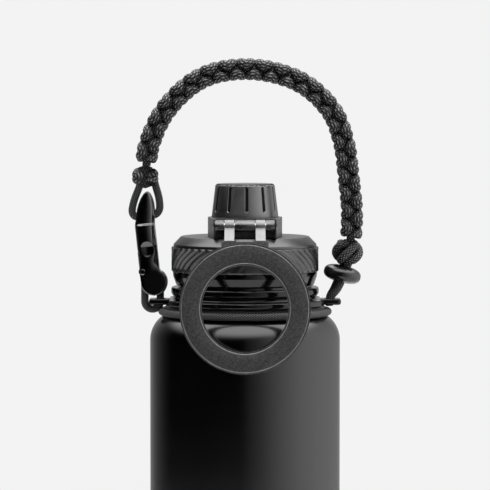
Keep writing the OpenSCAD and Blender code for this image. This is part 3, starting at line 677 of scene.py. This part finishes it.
class BOTTLE_OT_stage(BottleOperator, bpy.types.Operator):
    """Camera, soft studio light and a pale floor"""

    bl_idname = "bottle.stage"
    bl_label = "Build the stage"

    def execute(self, context):
        settings = context.scene.bottle_stage
        self.add_camera(context, settings)
        self.add_floor(context, settings)
        self.add_world(context, settings)
        self.add_lights(context)
        context.scene.view_settings.view_transform = "Standard"
        return {"FINISHED"}

    def add_camera(self, context, settings):
        data = bpy.data.cameras.new("Camera")
        data.lens = settings.lens
        data.sensor_width = 36
        data.clip_start = 0.01
        camera = bpy.data.objects.new("Camera", data)
        target = Vector((0, 0, settings.aim))
        back = Vector((0, -math.cos(settings.elevation), math.sin(settings.elevation)))
        camera.location = target + back * settings.distance
        camera.rotation_euler = (-back).to_track_quat("-Z", "Y").to_euler()
        context.scene.collection.objects.link(camera)
        context.scene.camera = camera

    def add_floor(self, context, settings):
        bm = bmesh.new()
        bmesh.ops.create_circle(bm, cap_ends=True, segments=96, radius=0.62)
        floor = add_piece("floor", bm, [grained(
            "Floor paper", [c * 0.86 for c in settings.backdrop], [c * 0.9 for c in settings.backdrop],
            rough=(0.7, 0.85), fine=900, broad=6, bump=(0.05, 0.05 * MM))])

    def add_world(self, context, settings):
        """Pale backdrop, even fill, and a studio round the bottle that only reflections see."""
        world = bpy.data.worlds.new("Studio")
        world.use_nodes = True
        context.scene.world = world
        tree = world.node_tree
        tree.nodes.clear()
        place = tree.nodes.new("ShaderNodeTexCoord")
        split = tree.nodes.new("ShaderNodeSeparateXYZ")
        tree.links.new(place.outputs["Generated"], split.inputs[0])
        forward = math_node(tree, "MULTIPLY", split.outputs["Y"], -1.0)
        bearing = math_node(tree, "ARCTAN2", split.outputs["X"], forward)
        turn = math_node(tree, "ADD", math_node(tree, "DIVIDE", bearing, math.tau), 0.5)
        ramp = tree.nodes.new("ShaderNodeValToRGB")
        stops = ramp.color_ramp.elements
        for index, (degrees, level) in enumerate(SOFTBOX):
            at = degrees / 360 + 0.5
            stop = stops[index] if index < 2 else stops.new(at)
            stop.position = at
            stop.color = (level, level, level, 1)
        tree.links.new(turn, ramp.inputs["Fac"])
        above = tree.nodes.new("ShaderNodeMapRange")
        above.interpolation_type = "SMOOTHSTEP"
        above.inputs["From Min"].default_value = 0.42
        above.inputs["From Max"].default_value = 0.8
        tree.links.new(split.outputs["Z"], above.inputs["Value"])
        above.inputs["To Max"].default_value = 2.1
        level = math_node(tree, "MAXIMUM", ramp.outputs["Color"], above.outputs["Result"])
        path = tree.nodes.new("ShaderNodeLightPath")

        def background(colour, strength):
            node = tree.nodes.new("ShaderNodeBackground")
            node.inputs["Color"].default_value = (*colour, 1)
            if isinstance(strength, float):
                node.inputs["Strength"].default_value = strength
            else:
                tree.links.new(strength, node.inputs["Strength"])
            return node.outputs[0]

        def choose(factor, otherwise, chosen):
            node = tree.nodes.new("ShaderNodeMixShader")
            tree.links.new(factor, node.inputs["Fac"])
            tree.links.new(otherwise, node.inputs[1])
            tree.links.new(chosen, node.inputs[2])
            return node.outputs[0]

        fill = background((1, 1, 1), 0.05)
        studio = background((1, 1, 1), math_node(tree, "MULTIPLY", level, 2.3))
        shade = choose(path.outputs["Is Glossy Ray"], fill, studio)
        seen = choose(path.outputs["Is Camera Ray"], shade, background(settings.backdrop, 1.0))
        output = tree.nodes.new("ShaderNodeOutputWorld")
        tree.links.new(seen, output.inputs["Surface"])

    def add_lights(self, context):
        lamps = [
            ("key_front", (0.35, -1.0, 0.8), (0.5, 0.4), 3.0),
            ("side_left", (-0.95, -0.2, 0.5), (0.3, 0.9), 2.6),
            ("side_right", (0.95, -0.2, 0.5), (0.4, 0.9), 3.4),
            ("top", (0.1, 0.1, 1.2), (0.7, 0.6), 26.0),
        ]
        for name, place, size, power in lamps:
            data = bpy.data.lights.new(name, "AREA")
            data.shape = "RECTANGLE"
            data.size, data.size_y = size
            data.energy = power
            lamp = bpy.data.objects.new(name, data)
            lamp.location = place
            lamp.visible_glossy = False
            aim = Vector((0, 0, 0.2)) - Vector(place)
            lamp.rotation_euler = aim.to_track_quat("-Z", "Y").to_euler()
            context.scene.collection.objects.link(lamp)


class Ribbon:
    """Middle line of a strap that lies in the XZ plane, with its width along Y."""

    def __init__(self, line):
        self.line = line
        self.ahead = headings(line, False)
        self.reached = [0.0]
        for a, b in zip(line, line[1:]):
            self.reached.append(self.reached[-1] + (b - a).length)
        self.length = self.reached[-1]

    def at(self, s, n, w):
        """The point at s along the strap, n out of its outer face and w across it."""
        s = min(max(s, 0.0), self.length)
        i = min(bisect.bisect_right(self.reached, s), len(self.line) - 1) - 1
        t = (s - self.reached[i]) / (self.reached[i + 1] - self.reached[i])
        point = self.line[i].lerp(self.line[i + 1], t)
        out = Vector((0, -1, 0)).cross(self.ahead[i].lerp(self.ahead[i + 1], t).normalized())
        return point + out * n + Vector((0, w, 0))


def cobra_weave(ribbon, halves, edge, face, radius):
    """Paths of the two working cords of a cobra braid, one over each face of the ribbon."""
    pitch = (ribbon.length - 2 * radius) / halves
    samples = 14
    paths = []
    for side in (1, -1):
        path = []
        for k in range(halves * samples + 1):
            u = k / samples
            swing = math.cos(math.pi * u)
            turn = abs(swing) ** 4
            s = radius + pitch * (u + 0.5 * math.sin(math.tau * u) / math.tau)
            w = side * edge * math.copysign(abs(swing) ** 0.55, swing)
            path.append(ribbon.at(s, side * face * (1 - 0.22 * turn), w))
        paths.append(path)
    return paths


class BOTTLE_OT_handle_strap(BottleOperator, bpy.types.Operator):
    """Braided strap: two cords knotted round two straight ones"""

    bl_idname = "bottle.handle_strap"
    bl_label = "Braid the handle strap"

    def execute(self, context):
        sizes = context.scene.bottle_strap
        ribbon = Ribbon(smooth_path([
            Vector((x * SCALE_X * MM, 0, PIVOT.z + z * MM)) for x, z in STRAP_ROUTE], 12))
        radius = sizes.cord_d / 2 * sizes.swell
        edge = sizes.width / 2 - radius
        face = sizes.thickness / 2 - radius
        halves = int((ribbon.length - 2 * radius) / sizes.pitch)
        bm = bmesh.new()
        for path in cobra_weave(ribbon, halves, edge, face, radius):
            add_tube(bm, path, radius, 14)
        for w in (-0.5, 0.5):
            core = [ribbon.at(ribbon.length * k / 90, 0, w * sizes.cord_d) for k in range(91)]
            add_tube(bm, core, sizes.cord_d / 2, 12)
        strap = add_piece("handle_strap", bm, [sheath_material()], smooth_angle=math.radians(60))
        stand_in(strap, "handle", "cord", "handle_braid")
        return {"FINISHED"}


def knot_ball(centre, reach, height, leads=3, bights=4):
    """Path of a ball knot: a cord that winds round a ring while it goes round the axis."""
    tube_reach = reach * 0.4
    ring = reach - tube_reach
    path = []
    count = 60 * leads
    for k in range(count):
        a = math.tau * leads * k / count
        b = a * bights / leads
        r = ring + tube_reach * math.cos(b)
        path.append(centre + Vector((r * math.cos(a), r * math.sin(a), height * math.sin(b))))
    return path


class BOTTLE_OT_knots(BottleOperator, bpy.types.Operator):
    """Last knot of the braid at its left end and ball knot at its right end"""

    bl_idname = "bottle.knots"
    bl_label = "Tie the knots"

    def execute(self, context):
        radius = 1.9 * MM
        low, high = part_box("left_knot")
        centre = (Vector(low) + Vector(high)) / 2
        reach = (Vector(high) - Vector(low)) / 2
        ribbon = Ribbon([centre - Vector((0, 0, reach.z)), centre + Vector((0, 0, reach.z))])
        knot = bmesh.new()
        slack = 2.4 * MM
        for path in cobra_weave(ribbon, 2, reach.y - slack, reach.x - slack, slack):
            add_tube(knot, path, slack, 14)
        for x in (-1.8 * MM, 1.8 * MM):
            add_tube(knot, [
                centre + Vector((x, 0, -reach.z)), centre, centre + Vector((x, 0, reach.z))],
                radius, 12)
        left = add_piece("left_end_knot", knot, [sheath_material()], smooth_angle=math.radians(60))
        stand_in(left, "handle", "cord", "left_knot")

        low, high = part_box("right_knot")
        centre = (Vector(low) + Vector(high)) / 2
        reach = (Vector(high) - Vector(low)) / 2
        ball = bmesh.new()
        add_tube(ball, knot_ball(centre, reach.x - radius, reach.z - radius), radius, 12, True)
        for x, y in ((0, 1.7), (0, -1.7), (2.2, 0), (-2.2, 0)):
            top = reach.z if x == 0 else 0.4 * reach.z
            add_tube(ball, [
                centre + Vector((x * MM, y * MM, top)), centre + Vector((x * MM, y * MM, 0)),
                centre + Vector(((x - 0.6) * MM, y * MM, -top))], 1.9 * MM, 12)
        right = add_piece("right_ball_knot", ball, [sheath_material()], smooth_angle=math.radians(60))
        stand_in(right, "handle", "cord", "right_knot")
        return {"FINISHED"}


def stem_middle(z):
    """Middle of the clip's stem at a height, in the clip's own frame, in millimetres."""
    return STEM_X + TONGUE_LEAN * max(0, z - TONGUE_Z)


def clip_place(x, z):
    """A point of the clip's own frame, in millimetres, in the row frame."""
    origin = Vector((-(EAR_BAR_X - 0.9) * MM, 0, PIVOT.z + 9.3 * MM))
    turned = Matrix.Rotation(-CLIP_LEAN, 3, "Y") @ Vector((x, 0, z))
    return origin + turned * MM


class BOTTLE_OT_end_cords(BottleOperator, bpy.types.Operator):
    """Cords at the handle's two ends and round the neck"""

    bl_idname = "bottle.end_cords"
    bl_label = "Lay the end cords"

    def execute(self, context):
        sheath = [sheath_material()]
        half = [Vector((x, 0, z)) for x, z in LOOP_ROUTE]
        route = [Vector((-p.x, 0, p.z)) for p in reversed(half[1:])] + half
        u_path = [clip_place(p.x + stem_middle(p.z), p.z) for p in smooth_path(route, 8)]
        u_cord = cord_piece("clip_u_cord", [u_path], TIGHT_R, sheath, sides=14)
        stand_in(u_cord, "handle", "cord", "clip_loop")

        low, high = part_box("ear_loop")
        reach = (high[0] - low[0]) / 2 - TIGHT_R
        middle = (low[0] + high[0]) / 2
        top, bottom = high[2] - TIGHT_R - reach, low[2] + TIGHT_R + reach
        ring = []
        for k in range(25):
            a = math.pi * k / 24
            ring.append(Vector((middle + reach * math.cos(a), 0, top + reach * math.sin(a))))
        for k in range(25):
            a = math.pi * (1 + k / 24)
            ring.append(Vector((middle + reach * math.cos(a), 0, bottom + reach * math.sin(a))))
        loop = cord_piece("left_ear_loop", [ring], TIGHT_R, sheath, sides=14, closed=True)
        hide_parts("ear_loop")
        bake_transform(loop)

        paths = []
        for side in (-1, 1):
            points = [
                Vector(((EAR_BAR_X + x + side * spread) * MM, -side * (1.9 - 0.3 * spread) * MM,
                        PIVOT.z + z * MM)) for x, z, spread in STEM_ROUTE]
            paths.append(smooth_path(points, 8))
        stem = cord_piece("right_stem_cords", paths, TIGHT_R, sheath, sides=14)
        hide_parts("stem_cords")
        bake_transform(stem)

        low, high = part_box("neck_cord")
        wrap_r = 1.7 * MM
        outer = high[0] - wrap_r
        turns = [(outer, low[2] + wrap_r), (outer - 3.1 * MM, high[2] - wrap_r)]
        rings = []
        for r, z in turns:
            gap = math.asin(2.4 * MM / r)
            angles = [gap - math.pi + (math.tau - 2 * gap) * k / 180 for k in range(181)]
            rings.append([Vector((r * math.cos(a), r * math.sin(a), z)) for a in angles])
        wraps = cord_piece("neck_wraps", rings, wrap_r, sheath, sides=12)
        stand_in(wraps, "neck_collar", "cord", "neck_cord")
        return {"FINISHED"}


class BOTTLE_OT_lid(BottleOperator, bpy.types.Operator):
    """Fluted grip band, chamfered cover, skirt and slotted cap"""

    bl_idname = "bottle.lid"
    bl_label = "Shape the lid"

    def execute(self, context):
        self.grip_band(context.scene.bottle_lid)
        low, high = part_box("lid_top_cover")
        rim, hole = high[0], 14.1 * MM
        cover = lathe(round_outline([
            (hole, high[2], 0.2 * MM), (rim - 3.6 * MM, high[2], 0.7 * MM),
            (rim, high[2] - 3.7 * MM, 0.5 * MM), (rim, low[2], 0.25 * MM),
            (rim - 2.4 * MM, low[2], 0), (rim - 2.4 * MM, low[2] + 2 * MM, 0),
            (hole, low[2] + 2 * MM, 0)]))
        piece = add_piece("lid_cover_disc", cover, [lid_moulding()])
        stand_in(piece, "lid", "lid_plastic", "lid_top_cover")

        low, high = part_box("lid_skirt_ring")
        top_r = high[0]
        skirt = lathe(round_outline([
            (32.2 * MM, low[2], 0.2 * MM), (top_r - 1.7 * MM, low[2], 0.5 * MM),
            (top_r - 0.25 * MM, high[2] - 2.4 * MM, 1.2 * MM), (top_r, high[2] - 0.12 * MM, 0.12 * MM),
            (32.5 * MM, high[2] - 0.12 * MM, 0), (32.2 * MM, high[2] - 0.8 * MM, 0)]))
        piece = add_piece("lid_skirt", skirt, [skirt_moulding()])
        stand_in(piece, "lid", "lid_plastic", "lid_skirt_ring")

        bm = softened("spout_cap_shell", 0.28 * MM)
        low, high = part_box("spout_cap_shell")
        # Faces sunk below the cap's outer wall take material 2, the painted slot shade; the rounded rims
        # take the painted rim highlight.
        for face in bm.faces:
            middle = face.calc_center_median()
            wall = high[0] - 1.8 * MM * (middle.z - low[2]) / (high[2] - low[2])
            across = Vector((middle.x, middle.y, 0))
            if across.length < wall - 0.3 * MM and face.normal.dot(across) > 0.2 * across.length:
                face.material_index = 2
        cap = add_piece("slotted_cap", bm, [cap_moulding(), painted_rim_highlight(), slot_shade()])
        stand_in(cap, "spout_cap", "cap_plastic", "spout_cap_shell")
        return {"FINISHED"}

    def grip_band(self, sizes):
        """Band turned on the lathe, its outer face cut with flutes that lean to the middle."""
        low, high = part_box("lid_grip_band")
        outer, inner, hole = high[0], 33.2 * MM, 26.3 * MM
        base, top, ledge = low[2], high[2], high[2] - 2.2 * MM
        rows = 16
        edge = 0.35 * MM
        outline = [Vector((inner, base)), Vector((outer - edge, base))]
        for k in range(rows + 1):
            outline.append(Vector((outer, base + edge + (top - base - 2 * edge) * k / rows)))
        outline += [
            Vector((outer - edge, top)), Vector((hole, top)), Vector((hole, ledge)),
            Vector((inner, ledge))]
        bm = lathe(outline, steps=900)
        for vert in bm.verts:
            r = math.hypot(vert.co.x, vert.co.y)
            if r < outer - 0.5 * edge:
                continue
            height = (vert.co.z - base) / (top - base)
            from_front = abs(math.atan2(vert.co.x, -vert.co.y))
            phase = sizes.flutes * (from_front + sizes.lean * height ** 1.5)
            wave = 0.5 - 0.5 * math.cos(phase)
            fade = min(1, 9 * height, 9 * (1 - height), 0.12 + 1.5 * max(from_front - 0.3, 0))
            cut = sizes.depth * wave ** 0.8 * max(fade, 0)
            vert.co.x *= (r - cut) / r
            vert.co.y *= (r - cut) / r
        piece = add_piece("fluted_grip", bm, [lid_moulding()], smooth_angle=math.radians(50))
        stand_in(piece, "lid", "lid_plastic", "lid_grip_band")


class BOTTLE_OT_shell(BottleOperator, bpy.types.Operator):
    """Powder-coated shell, turned in one piece"""

    bl_idname = "bottle.shell"
    bl_label = "Turn the shell"

    def execute(self, context):
        low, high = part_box("outer_shell")
        r, top = high[0], high[2]
        neck = 31.5 * MM
        shoulder = r - neck
        wall = 0.6 * MM
        shoulder_z = 186 * MM
        foot = 6 * MM
        lip = r - foot - 2.4 * MM
        floor_z = 3.4 * MM
        outline = [Vector((1.2 * MM, floor_z)), Vector((lip, floor_z)), Vector((lip, low[2]))]
        for k in range(9):
            a = -math.pi / 2 + math.pi / 2 * k / 8
            outline.append(Vector((
                r - foot + foot * math.cos(a), low[2] + foot + foot * math.sin(a))))
        for k in range(21):
            a = math.pi / 2 * k / 20
            outline.append(Vector((neck + shoulder * math.cos(a), shoulder_z + shoulder * math.sin(a))))
        outline += [Vector((neck, top)), Vector((neck - wall, top))]
        for k in range(21):
            a = math.pi / 2 * (1 - k / 20)
            outline.append(Vector((
                neck + (shoulder - wall) * math.cos(a), shoulder_z + (shoulder - wall) * math.sin(a))))
        inner_foot = foot - wall
        for k in range(9):
            a = -math.pi / 2 * k / 8
            outline.append(Vector((
                r - foot + inner_foot * math.cos(a), max(foot + inner_foot * math.sin(a), 4 * MM))))
        outline.append(Vector((1.2 * MM, 4 * MM)))
        shell = add_piece("coated_shell", lathe(outline, steps=256), [powder_coat()])
        stand_in(shell, "bottle", "powder_coat", "outer_shell")
        return {"FINISHED"}


class BOTTLE_OT_ring(BottleOperator, bpy.types.Operator):
    """Phone ring with its mottled face, and the collar that carries it"""

    bl_idname = "bottle.ring"
    bl_label = "Finish the phone ring"

    def execute(self, context):
        bm = softened("phone_ring_frame", 0.45 * MM, 2)
        # Faces toward the camera take the mottled face finish. The back faces take it too: a dark back,
        # which is also painted shade for the band seen through the hole.
        for face in bm.faces:
            facing = face.normal.dot(RING_FRONT)
            if face.material_index == 0 and (facing > 0.995 or facing < -0.9):
                face.material_index = 2
        # The plate's rounded rims take the painted rim highlight.
        ring = add_piece("phone_ring_plate", bm, [ring_metal(), painted_rim_highlight(), ring_face()])
        stand_in(ring, "phone_ring", "ring_metal", "phone_ring_frame")
        # The pad's rounded rims take the painted rim highlight.
        pad = add_piece(
            "mottled_face", softened("ring_face_pad", 0.5 * MM, 2), [ring_face(), painted_rim_highlight()])
        stand_in(pad, "phone_ring", "ring_metal", "ring_face_pad")
        # The collar's rounded strips take the lighter ring metal, a painted highlight on its rims.
        collar = add_piece(
            "spout_hinge_collar", softened("hinge_collar", 0.35 * MM), [collar_metal(), ring_metal()])
        stand_in(collar, "ring_collar", "hinge_metal", "hinge_collar")
        return {"FINISHED"}


class BOTTLE_OT_clip(BottleOperator, bpy.types.Operator):
    """Glossy clip, its lever, the neck collar and the cord button"""

    bl_idname = "bottle.clip"
    bl_label = "Mould the clip and collar"

    def execute(self, context):
        bm = melted("clip_body", 0.3 * MM, 9)
        self.round_stem(bm)
        clip = add_piece("moulded_clip", bm, [gloss_moulding()], math.radians(70))
        stand_in(clip, "handle", "clip_plastic", "clip_body")
        gate = add_piece("clip_lever", softened("clip_gate", 0.3 * MM), [gloss_moulding()] * 2)
        stand_in(gate, "clip_gate", "clip_plastic", "clip_gate")
        collar = add_piece(
            "neck_band", melted("neck_collar", 0.46 * MM, 4), [neck_rubber()], math.radians(70))
        stand_in(collar, "neck_collar", "collar_rubber", "neck_collar")
        button = add_piece("cord_bead", self.bead(), [button_moulding()])
        stand_in(button, "cord_button", "button_plastic", "cord_button")
        return {"FINISHED"}

    def bead(self):
        """Bead with a thick round edge and a hole for the cords, leaning as its cords do."""
        low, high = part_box("cord_button")
        centre = (Vector(low) + Vector(high)) / 2
        rim, half, hole, power = 9 * MM, 4.1 * MM, 4.6 * MM, 0.78
        outline = []
        for k in range(41):
            a = math.radians(-67 + 134 * k / 40)
            outline.append(Vector((
                rim * math.cos(a) ** power, half * math.copysign(abs(math.sin(a)) ** power, a))))
        outline += [Vector((hole, half * 0.8)), Vector((hole, -half * 0.8))]
        bm = lathe(outline, steps=96)
        bmesh.ops.rotate(
            bm, verts=bm.verts, cent=(0, 0, 0), matrix=Matrix.Rotation(BEAD_LEAN, 3, "Y"))
        bmesh.ops.translate(bm, verts=bm.verts, vec=centre)
        return bm

    def round_stem(self, bm):
        """Turns the stem's square section into a rounded one, from the boss up to the tongue's tip."""
        origin = clip_place(0, 0)
        back = Matrix.Rotation(CLIP_LEAN, 3, "Y")
        forth = Matrix.Rotation(-CLIP_LEAN, 3, "Y")
        half, depth, power = 4.9 * MM, 5.5 * MM, 3.2
        for vert in bm.verts:
            local = back @ (vert.co - origin)
            rise = local.z / MM
            share = min(max((rise - 5) / 5, 0), 1)
            share = share * share * (3 - 2 * share)
            wide, deep = half, depth
            if rise > TONGUE_Z:
                deep = 0.8 * depth
                wide = half * math.sqrt(max(0.08, 1 - (max(rise - 29, 0) / 15) ** 2))
            middle = stem_middle(rise) * MM
            u = min(abs(local.x - middle) / wide, 1)
            v = min(abs(local.y) / deep, 1)
            norm = (u ** power + v ** power) ** (1 / power)
            if norm < 1e-6:
                continue
            shrink = 1 - share * (1 - max(u, v) / norm)
            local.x = middle + (local.x - middle) * shrink
            local.y *= shrink
            vert.co = forth @ local + origin


class BOTTLE_OT_inner_finishes(BottleOperator, bpy.types.Operator):
    """Finishes of the steel, gaskets, plug, pins and other pieces kept from the frame"""

    bl_idname = "bottle.inner_finishes"
    bl_label = "Finish the inner pieces"

    def execute(self, context):
        for node, material in hidden_finishes().items():
            mesh = frame["nodes"][node].data
            mesh.materials.clear()
            mesh.materials.append(material)
        return {"FINISHED"}


class BOTTLE_PT_panel(bpy.types.Panel):
    """Lists the steps that build the bottle's looks"""

    bl_idname = "BOTTLE_PT_panel"
    bl_label = "Insulated bottle"
    bl_space_type = "VIEW_3D"
    bl_region_type = "UI"
    bl_category = "Bottle"

    def draw(self, context):
        layout = self.layout
        for group in ("bottle_colours", "bottle_strap", "bottle_lid", "bottle_stage"):
            settings = getattr(context.scene, group)
            for name in settings.bl_rna.properties.keys():
                if name not in ("rna_type", "name"):
                    layout.prop(settings, name)
        for operator in OPERATORS:
            layout.operator(operator.bl_idname)


OPERATORS = [
    BOTTLE_OT_stage, BOTTLE_OT_handle_strap, BOTTLE_OT_knots, BOTTLE_OT_end_cords, BOTTLE_OT_lid,
    BOTTLE_OT_shell, BOTTLE_OT_ring, BOTTLE_OT_clip, BOTTLE_OT_inner_finishes,
]
GROUPS = {
    "bottle_colours": BottleColours, "bottle_strap": StrapSizes, "bottle_lid": LidSizes,
    "bottle_stage": StageSettings,
}


def register():
    for name, group in GROUPS.items():
        bpy.utils.register_class(group)
        setattr(bpy.types.Scene, name, bpy.props.PointerProperty(type=group))
    for operator in OPERATORS:
        bpy.utils.register_class(operator)
    bpy.utils.register_class(BOTTLE_PT_panel)


def unregister():
    bpy.utils.unregister_class(BOTTLE_PT_panel)
    for operator in reversed(OPERATORS):
        bpy.utils.unregister_class(operator)
    for name, group in reversed(GROUPS.items()):
        delattr(bpy.types.Scene, name)
        bpy.utils.unregister_class(group)


def main():
    register()
    bpy.ops.bottle.stage()
    bpy.ops.bottle.handle_strap()
    bpy.ops.bottle.knots()
    bpy.ops.bottle.end_cords()
    bpy.ops.bottle.lid()
    bpy.ops.bottle.shell()
    bpy.ops.bottle.ring()
    bpy.ops.bottle.clip()
    bpy.ops.bottle.inner_finishes()


if __name__ == "__main__":
    main()
